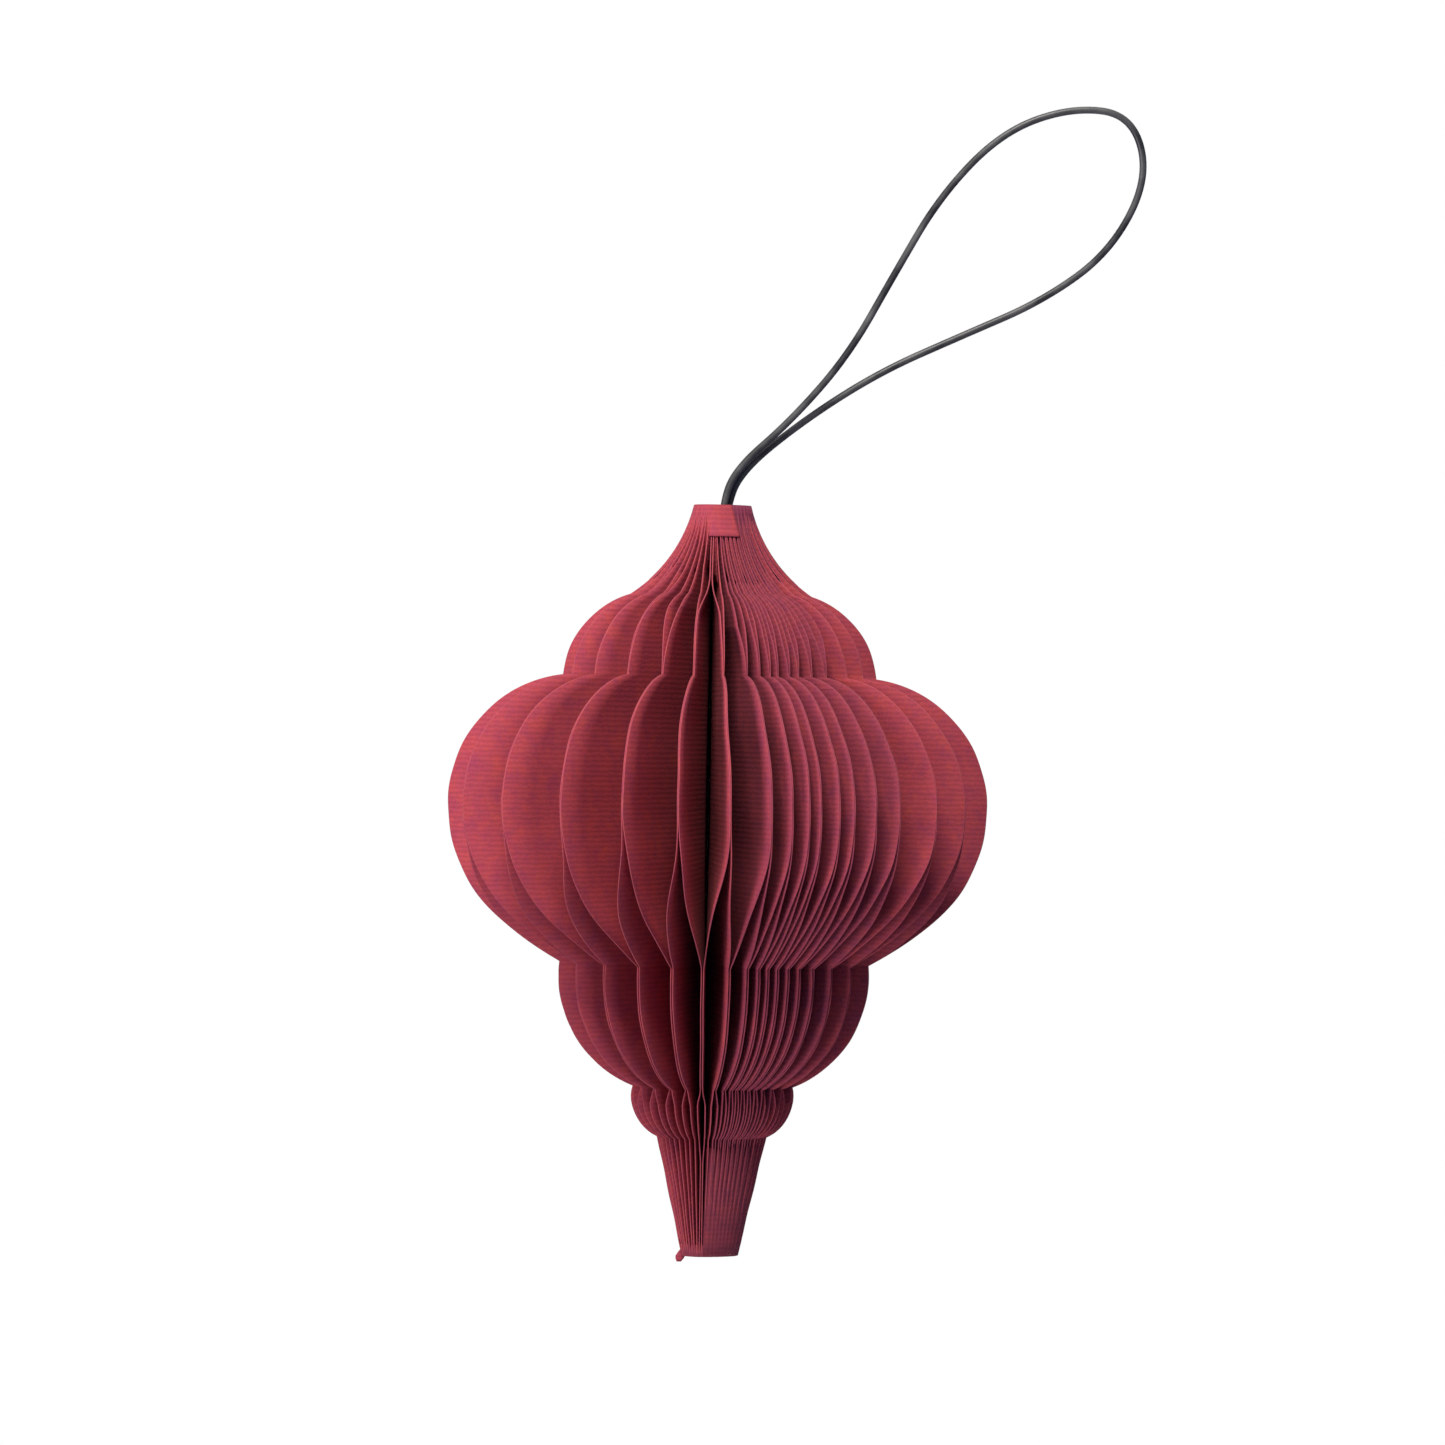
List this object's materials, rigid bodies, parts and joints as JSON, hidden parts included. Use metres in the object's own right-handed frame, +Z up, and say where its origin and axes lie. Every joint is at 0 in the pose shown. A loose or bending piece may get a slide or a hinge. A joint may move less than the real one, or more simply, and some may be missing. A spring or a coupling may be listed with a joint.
{
  "type": "accordion paper lantern",
  "caption": "Hanging honeycomb paper lantern on a cord loop: stacked paper leaves hinged at a spine that open from a flat book into a round waisted shape.",
  "frame": {"origin": "centre of the neck's top, where the hanging cord leaves the paper", "axes": "+Z up along the lantern's axis, -Y towards the front, +X to the right seen from the front"},
  "size_m": [0.0963, 0.0732, 0.1615],
  "materials": {
    "cotton_paper": "matt dyed cotton paper with laid ribs",
    "waxed_cord": "waxed round cord, low sheen"
  },
  "bodies": {
    "leaf_01": {"paper_leaf_01": "cotton_paper"},
    "leaf_02": {"paper_leaf_02": "cotton_paper"},
    "leaf_03": {"paper_leaf_03": "cotton_paper"},
    "leaf_04": {"paper_leaf_04": "cotton_paper"},
    "leaf_05": {"paper_leaf_05": "cotton_paper"},
    "leaf_06": {"paper_leaf_06": "cotton_paper"},
    "leaf_07": {"paper_leaf_07": "cotton_paper"},
    "leaf_08": {"paper_leaf_08": "cotton_paper"},
    "leaf_09": {"paper_leaf_09": "cotton_paper"},
    "leaf_10": {"paper_leaf_10": "cotton_paper"},
    "leaf_11": {"paper_leaf_11": "cotton_paper"},
    "leaf_12": {"paper_leaf_12": "cotton_paper", "hanging_cord": "waxed_cord", "cord_knot": "waxed_cord"},
    "leaf_13": {"paper_leaf_13": "cotton_paper"},
    "leaf_14": {"paper_leaf_14": "cotton_paper"},
    "leaf_15": {"paper_leaf_15": "cotton_paper"},
    "leaf_16": {"paper_leaf_16": "cotton_paper"},
    "leaf_17": {"paper_leaf_17": "cotton_paper"},
    "leaf_18": {"paper_leaf_18": "cotton_paper"},
    "leaf_19": {"paper_leaf_19": "cotton_paper"},
    "leaf_20": {"paper_leaf_20": "cotton_paper"},
    "leaf_21": {"paper_leaf_21": "cotton_paper"},
    "leaf_22": {"paper_leaf_22": "cotton_paper"},
    "leaf_23": {"paper_leaf_23": "cotton_paper"},
    "leaf_24": {"paper_leaf_24": "cotton_paper"},
    "leaf_25": {"paper_leaf_25": "cotton_paper"},
    "leaf_26": {"paper_leaf_26": "cotton_paper"},
    "leaf_27": {"paper_leaf_27": "cotton_paper"},
    "leaf_28": {"paper_leaf_28": "cotton_paper"},
    "leaf_29": {"paper_leaf_29": "cotton_paper"},
    "leaf_30": {"paper_leaf_30": "cotton_paper"},
    "leaf_31": {"paper_leaf_31": "cotton_paper"},
    "leaf_32": {"paper_leaf_32": "cotton_paper"},
    "leaf_33": {"paper_leaf_33": "cotton_paper"},
    "leaf_34": {"paper_leaf_34": "cotton_paper", "closing_tab": "cotton_paper"}
  },
  "joints": [
    {"name": "fan_fold", "type": "hinge", "parent": "leaf_12", "child": "leaf_13", "pos_m": [0.00307, 0.00081, -0.0525], "axis": [0, 0, -1], "range_deg": [0, 24]},
    {"name": "fold_13_14", "type": "hinge", "parent": "leaf_13", "child": "leaf_14", "pos_m": [0.00289, 0.00124, -0.0525], "axis": [0, 0, -1], "range_deg": [0, 17.5]},
    {"name": "fold_14_15", "type": "hinge", "parent": "leaf_14", "child": "leaf_15", "pos_m": [0.00259, 0.0016, -0.0525], "axis": [0, 0, -1], "range_deg": [0, 17.2]},
    {"name": "fold_15_16", "type": "hinge", "parent": "leaf_15", "child": "leaf_16", "pos_m": [0.0022, 0.00186, -0.0525], "axis": [0, 0, -1], "range_deg": [0, 14.6]},
    {"name": "fold_16_17", "type": "hinge", "parent": "leaf_16", "child": "leaf_17", "pos_m": [0.00175, 0.00201, -0.0525], "axis": [0, 0, -1], "range_deg": [0, 11.9]},
    {"name": "fold_17_18", "type": "hinge", "parent": "leaf_17", "child": "leaf_18", "pos_m": [0.00128, 0.00206, -0.0525], "axis": [0, 0, -1], "range_deg": [0, 10.8]},
    {"name": "fold_18_19", "type": "hinge", "parent": "leaf_18", "child": "leaf_19", "pos_m": [0.00081, 0.00202, -0.0525], "axis": [0, 0, -1], "range_deg": [0, 8.5]},
    {"name": "fold_19_20", "type": "hinge", "parent": "leaf_19", "child": "leaf_20", "pos_m": [0.00036, 0.00192, -0.0525], "axis": [0, 0, -1], "range_deg": [0, 4]},
    {"name": "fold_20_21", "type": "hinge", "parent": "leaf_20", "child": "leaf_21", "pos_m": [-0.00009, 0.00178, -0.0525], "axis": [0, 0, -1], "range_deg": [0, 3.2]},
    {"name": "fold_21_22", "type": "hinge", "parent": "leaf_21", "child": "leaf_22", "pos_m": [-0.00053, 0.00162, -0.0525], "axis": [0, 0, -1], "range_deg": [0, 2]},
    {"name": "fold_22_23", "type": "hinge", "parent": "leaf_22", "child": "leaf_23", "pos_m": [-0.00097, 0.00144, -0.0525], "axis": [0, 0, -1], "range_deg": [0, 3.8]},
    {"name": "fold_23_24", "type": "hinge", "parent": "leaf_23", "child": "leaf_24", "pos_m": [-0.00139, 0.00124, -0.0525], "axis": [0, 0, -1], "range_deg": [0, 3]},
    {"name": "fold_24_25", "type": "hinge", "parent": "leaf_24", "child": "leaf_25", "pos_m": [-0.0018, 0.00101, -0.0525], "axis": [0, 0, -1], "range_deg": [0, 5]},
    {"name": "fold_25_26", "type": "hinge", "parent": "leaf_25", "child": "leaf_26", "pos_m": [-0.00219, 0.00075, -0.0525], "axis": [0, 0, -1], "range_deg": [0, 6]},
    {"name": "fold_26_27", "type": "hinge", "parent": "leaf_26", "child": "leaf_27", "pos_m": [-0.00255, 0.00045, -0.0525], "axis": [0, 0, -1], "range_deg": [0, 11.5]},
    {"name": "fold_27_28", "type": "hinge", "parent": "leaf_27", "child": "leaf_28", "pos_m": [-0.00285, 0.00008, -0.0525], "axis": [0, 0, -1], "range_deg": [0, 12]},
    {"name": "fold_28_29", "type": "hinge", "parent": "leaf_28", "child": "leaf_29", "pos_m": [-0.00306, -0.00034, -0.0525], "axis": [0, 0, -1], "range_deg": [0, 25]},
    {"name": "fold_29_30", "type": "hinge", "parent": "leaf_29", "child": "leaf_30", "pos_m": [-0.00307, -0.00081, -0.0525], "axis": [0, 0, -1], "range_deg": [0, 24]},
    {"name": "fold_30_31", "type": "hinge", "parent": "leaf_30", "child": "leaf_31", "pos_m": [-0.00289, -0.00124, -0.0525], "axis": [0, 0, -1], "range_deg": [0, 17.5]},
    {"name": "fold_31_32", "type": "hinge", "parent": "leaf_31", "child": "leaf_32", "pos_m": [-0.00259, -0.0016, -0.0525], "axis": [0, 0, -1], "range_deg": [0, 17.2]},
    {"name": "fold_32_33", "type": "hinge", "parent": "leaf_32", "child": "leaf_33", "pos_m": [-0.0022, -0.00186, -0.0525], "axis": [0, 0, -1], "range_deg": [0, 14.6]},
    {"name": "fold_33_34", "type": "hinge", "parent": "leaf_33", "child": "leaf_34", "pos_m": [-0.00175, -0.00201, -0.0525], "axis": [0, 0, -1], "range_deg": [0, 11.9]},
    {"name": "fold_12_11", "type": "hinge", "parent": "leaf_12", "child": "leaf_11", "pos_m": [0.00306, 0.00034, -0.0525], "axis": [0, 0, 1], "range_deg": [0, 25]},
    {"name": "fold_11_10", "type": "hinge", "parent": "leaf_11", "child": "leaf_10", "pos_m": [0.00285, -0.00008, -0.0525], "axis": [0, 0, 1], "range_deg": [0, 12]},
    {"name": "fold_10_09", "type": "hinge", "parent": "leaf_10", "child": "leaf_09", "pos_m": [0.00255, -0.00045, -0.0525], "axis": [0, 0, 1], "range_deg": [0, 11.5]},
    {"name": "fold_09_08", "type": "hinge", "parent": "leaf_09", "child": "leaf_08", "pos_m": [0.00219, -0.00075, -0.0525], "axis": [0, 0, 1], "range_deg": [0, 6]},
    {"name": "fold_08_07", "type": "hinge", "parent": "leaf_08", "child": "leaf_07", "pos_m": [0.0018, -0.00101, -0.0525], "axis": [0, 0, 1], "range_deg": [0, 5]},
    {"name": "fold_07_06", "type": "hinge", "parent": "leaf_07", "child": "leaf_06", "pos_m": [0.00139, -0.00124, -0.0525], "axis": [0, 0, 1], "range_deg": [0, 3]},
    {"name": "fold_06_05", "type": "hinge", "parent": "leaf_06", "child": "leaf_05", "pos_m": [0.00097, -0.00144, -0.0525], "axis": [0, 0, 1], "range_deg": [0, 3.8]},
    {"name": "fold_05_04", "type": "hinge", "parent": "leaf_05", "child": "leaf_04", "pos_m": [0.00053, -0.00162, -0.0525], "axis": [0, 0, 1], "range_deg": [0, 2]},
    {"name": "fold_04_03", "type": "hinge", "parent": "leaf_04", "child": "leaf_03", "pos_m": [0.00009, -0.00178, -0.0525], "axis": [0, 0, 1], "range_deg": [0, 3.2]},
    {"name": "fold_03_02", "type": "hinge", "parent": "leaf_03", "child": "leaf_02", "pos_m": [-0.00036, -0.00192, -0.0525], "axis": [0, 0, 1], "range_deg": [0, 4]},
    {"name": "fold_02_01", "type": "hinge", "parent": "leaf_02", "child": "leaf_01", "pos_m": [-0.00081, -0.00202, -0.0525], "axis": [0, 0, 1], "range_deg": [0, 8.5]}
  ],
  "couplings": [
    {"joint": "fold_13_14", "follows": "fan_fold", "ratio": 0.72917},
    {"joint": "fold_14_15", "follows": "fan_fold", "ratio": 0.71667},
    {"joint": "fold_15_16", "follows": "fan_fold", "ratio": 0.60833},
    {"joint": "fold_16_17", "follows": "fan_fold", "ratio": 0.49583},
    {"joint": "fold_17_18", "follows": "fan_fold", "ratio": 0.45},
    {"joint": "fold_18_19", "follows": "fan_fold", "ratio": 0.35417},
    {"joint": "fold_19_20", "follows": "fan_fold", "ratio": 0.16667},
    {"joint": "fold_20_21", "follows": "fan_fold", "ratio": 0.13333},
    {"joint": "fold_21_22", "follows": "fan_fold", "ratio": 0.083333},
    {"joint": "fold_22_23", "follows": "fan_fold", "ratio": 0.15833},
    {"joint": "fold_23_24", "follows": "fan_fold", "ratio": 0.125},
    {"joint": "fold_24_25", "follows": "fan_fold", "ratio": 0.20833},
    {"joint": "fold_25_26", "follows": "fan_fold", "ratio": 0.25},
    {"joint": "fold_26_27", "follows": "fan_fold", "ratio": 0.47917},
    {"joint": "fold_27_28", "follows": "fan_fold", "ratio": 0.5},
    {"joint": "fold_28_29", "follows": "fan_fold", "ratio": 1.0417},
    {"joint": "fold_29_30", "follows": "fan_fold", "ratio": 1},
    {"joint": "fold_30_31", "follows": "fan_fold", "ratio": 0.72917},
    {"joint": "fold_31_32", "follows": "fan_fold", "ratio": 0.71667},
    {"joint": "fold_32_33", "follows": "fan_fold", "ratio": 0.60833},
    {"joint": "fold_33_34", "follows": "fan_fold", "ratio": 0.49583},
    {"joint": "fold_12_11", "follows": "fan_fold", "ratio": 1.0417},
    {"joint": "fold_11_10", "follows": "fan_fold", "ratio": 0.5},
    {"joint": "fold_10_09", "follows": "fan_fold", "ratio": 0.47917},
    {"joint": "fold_09_08", "follows": "fan_fold", "ratio": 0.25},
    {"joint": "fold_08_07", "follows": "fan_fold", "ratio": 0.20833},
    {"joint": "fold_07_06", "follows": "fan_fold", "ratio": 0.125},
    {"joint": "fold_06_05", "follows": "fan_fold", "ratio": 0.15833},
    {"joint": "fold_05_04", "follows": "fan_fold", "ratio": 0.083333},
    {"joint": "fold_04_03", "follows": "fan_fold", "ratio": 0.13333},
    {"joint": "fold_03_02", "follows": "fan_fold", "ratio": 0.16667},
    {"joint": "fold_02_01", "follows": "fan_fold", "ratio": 0.35417}
  ]
}
